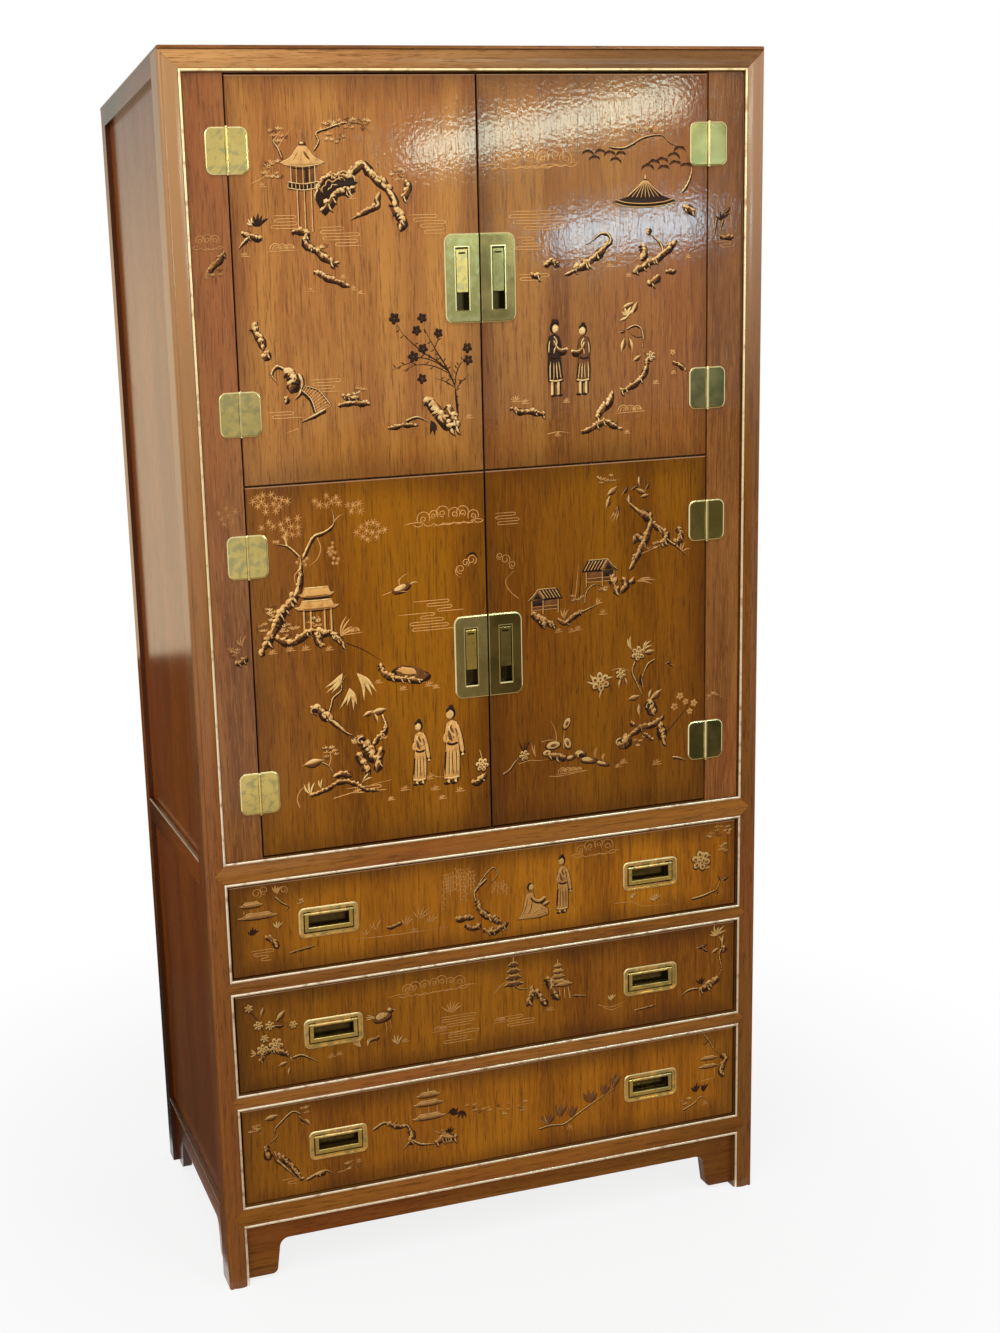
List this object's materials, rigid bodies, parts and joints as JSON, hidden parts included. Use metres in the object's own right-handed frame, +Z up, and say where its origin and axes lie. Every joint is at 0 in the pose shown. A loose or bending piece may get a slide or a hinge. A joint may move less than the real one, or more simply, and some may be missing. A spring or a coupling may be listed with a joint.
{
  "type": "chinoiserie cabinet",
  "caption": "Tall wooden cabinet with inset doors over drawers, bracket feet, gilt beads, plate hinges, recessed pulls and raised gilt landscape decoration.",
  "frame": {"origin": "middle of the footprint, on the floor", "axes": "+Z up, +Y towards the back, +X to the right seen from the front"},
  "size_m": [1.016, 0.508, 2.032],
  "materials": {
    "frame_wood": "stained and lacquered walnut",
    "veneer": "lacquered walnut veneer with raised gilt decoration",
    "inner_wood": "sealed secondary wood",
    "gilt": "satin gilt",
    "brass": "aged satin brass",
    "magnet_steel": "plain"
  },
  "bodies": {
    "case": {"front_left_post": "frame_wood", "front_right_post": "frame_wood", "rear_posts": "frame_wood", "top_rail": "frame_wood", "mid_rail": "frame_wood", "drawer_rails": "frame_wood", "base_rail": "frame_wood", "front_apron": "frame_wood", "back_apron": "frame_wood", "left_side_rails": "frame_wood", "right_side_rails": "frame_wood", "top_board": "frame_wood", "hinge_stiles": "frame_wood", "left_side_panels": "veneer", "right_side_panels": "veneer", "back_panel": "inner_wood", "case_floor": "inner_wood", "dust_boards": "inner_wood", "drawer_deck": "inner_wood", "divider_shelf": "inner_wood", "loose_shelves": "inner_wood", "drawer_guides": "inner_wood", "door_opening_bead": "gilt", "case_beads": "gilt", "fixed_hinge_leaves": "brass", "hinge_pins": "brass", "shelf_pins": "brass", "door_catches": "magnet_steel"},
    "upper_left_door": {"upper_left_door": "veneer", "upper_left_door_hinge_leaves": "brass", "upper_left_door_pull": "brass"},
    "upper_left_tab": {"upper_left_door_pull_tab": "brass"},
    "upper_right_door": {"upper_right_door": "veneer", "upper_right_door_hinge_leaves": "brass", "upper_right_door_pull": "brass"},
    "upper_right_tab": {"upper_right_door_pull_tab": "brass"},
    "lower_left_door": {"lower_left_door": "veneer", "lower_left_door_hinge_leaves": "brass", "lower_left_door_pull": "brass"},
    "lower_left_tab": {"lower_left_door_pull_tab": "brass"},
    "lower_right_door": {"lower_right_door": "veneer", "lower_right_door_hinge_leaves": "brass", "lower_right_door_pull": "brass"},
    "lower_right_tab": {"lower_right_door_pull_tab": "brass"},
    "top_drawer": {"top_drawer_front": "veneer", "top_drawer_box": "inner_wood", "top_drawer_pulls": "brass"},
    "top_left_bail": {"top_drawer_left_bail": "brass"},
    "top_right_bail": {"top_drawer_right_bail": "brass"},
    "middle_drawer": {"middle_drawer_front": "veneer", "middle_drawer_box": "inner_wood", "middle_drawer_pulls": "brass"},
    "middle_left_bail": {"middle_drawer_left_bail": "brass"},
    "middle_right_bail": {"middle_drawer_right_bail": "brass"},
    "bottom_drawer": {"bottom_drawer_front": "veneer", "bottom_drawer_box": "inner_wood", "bottom_drawer_pulls": "brass"},
    "bottom_left_bail": {"bottom_drawer_left_bail": "brass"},
    "bottom_right_bail": {"bottom_drawer_right_bail": "brass"}
  },
  "joints": [
    {"name": "upper_left_door_hinge", "type": "hinge", "parent": "case", "child": "upper_left_door", "pos_m": [-0.408, -0.2508, 1.684], "axis": [0, 0, -1], "range_deg": [0, 120]},
    {"name": "upper_left_tab_hinge", "type": "hinge", "parent": "upper_left_door", "child": "upper_left_tab", "pos_m": [-0.0312, -0.2468, 1.72581], "axis": [-1, 0, 0], "range_deg": [0, 90]},
    {"name": "upper_right_door_hinge", "type": "hinge", "parent": "case", "child": "upper_right_door", "pos_m": [0.408, -0.2508, 1.684], "axis": [0, 0, 1], "range_deg": [0, 120]},
    {"name": "upper_right_tab_hinge", "type": "hinge", "parent": "upper_right_door", "child": "upper_right_tab", "pos_m": [0.0312, -0.2468, 1.72581], "axis": [-1, 0, 0], "range_deg": [0, 90]},
    {"name": "lower_left_door_hinge", "type": "hinge", "parent": "case", "child": "lower_left_door", "pos_m": [-0.408, -0.2508, 1.07], "axis": [0, 0, -1], "range_deg": [0, 120]},
    {"name": "lower_left_tab_hinge", "type": "hinge", "parent": "lower_left_door", "child": "lower_left_tab", "pos_m": [-0.0312, -0.2468, 1.11135], "axis": [-1, 0, 0], "range_deg": [0, 90]},
    {"name": "lower_right_door_hinge", "type": "hinge", "parent": "case", "child": "lower_right_door", "pos_m": [0.408, -0.2508, 1.07], "axis": [0, 0, 1], "range_deg": [0, 120]},
    {"name": "lower_right_tab_hinge", "type": "hinge", "parent": "lower_right_door", "child": "lower_right_tab", "pos_m": [0.0312, -0.2468, 1.11135], "axis": [-1, 0, 0], "range_deg": [0, 90]},
    {"name": "top_drawer_slide", "type": "slide", "parent": "case", "child": "top_drawer", "axis": [0, -1, 0], "range_m": [0, 0.36]},
    {"name": "top_left_bail_hinge", "type": "hinge", "parent": "top_drawer", "child": "top_left_bail", "pos_m": [-0.3, -0.2463, 0.6563], "axis": [-1, 0, 0], "range_deg": [0, 90]},
    {"name": "top_right_bail_hinge", "type": "hinge", "parent": "top_drawer", "child": "top_right_bail", "pos_m": [0.3, -0.2463, 0.6563], "axis": [-1, 0, 0], "range_deg": [0, 90]},
    {"name": "middle_drawer_slide", "type": "slide", "parent": "case", "child": "middle_drawer", "axis": [0, -1, 0], "range_m": [0, 0.36]},
    {"name": "middle_left_bail_hinge", "type": "hinge", "parent": "middle_drawer", "child": "middle_left_bail", "pos_m": [-0.3, -0.2463, 0.4573], "axis": [-1, 0, 0], "range_deg": [0, 90]},
    {"name": "middle_right_bail_hinge", "type": "hinge", "parent": "middle_drawer", "child": "middle_right_bail", "pos_m": [0.3, -0.2463, 0.4573], "axis": [-1, 0, 0], "range_deg": [0, 90]},
    {"name": "bottom_drawer_slide", "type": "slide", "parent": "case", "child": "bottom_drawer", "axis": [0, -1, 0], "range_m": [0, 0.36]},
    {"name": "bottom_left_bail_hinge", "type": "hinge", "parent": "bottom_drawer", "child": "bottom_left_bail", "pos_m": [-0.3, -0.2463, 0.2513], "axis": [-1, 0, 0], "range_deg": [0, 90]},
    {"name": "bottom_right_bail_hinge", "type": "hinge", "parent": "bottom_drawer", "child": "bottom_right_bail", "pos_m": [0.3, -0.2463, 0.2513], "axis": [-1, 0, 0], "range_deg": [0, 90]}
  ]
}
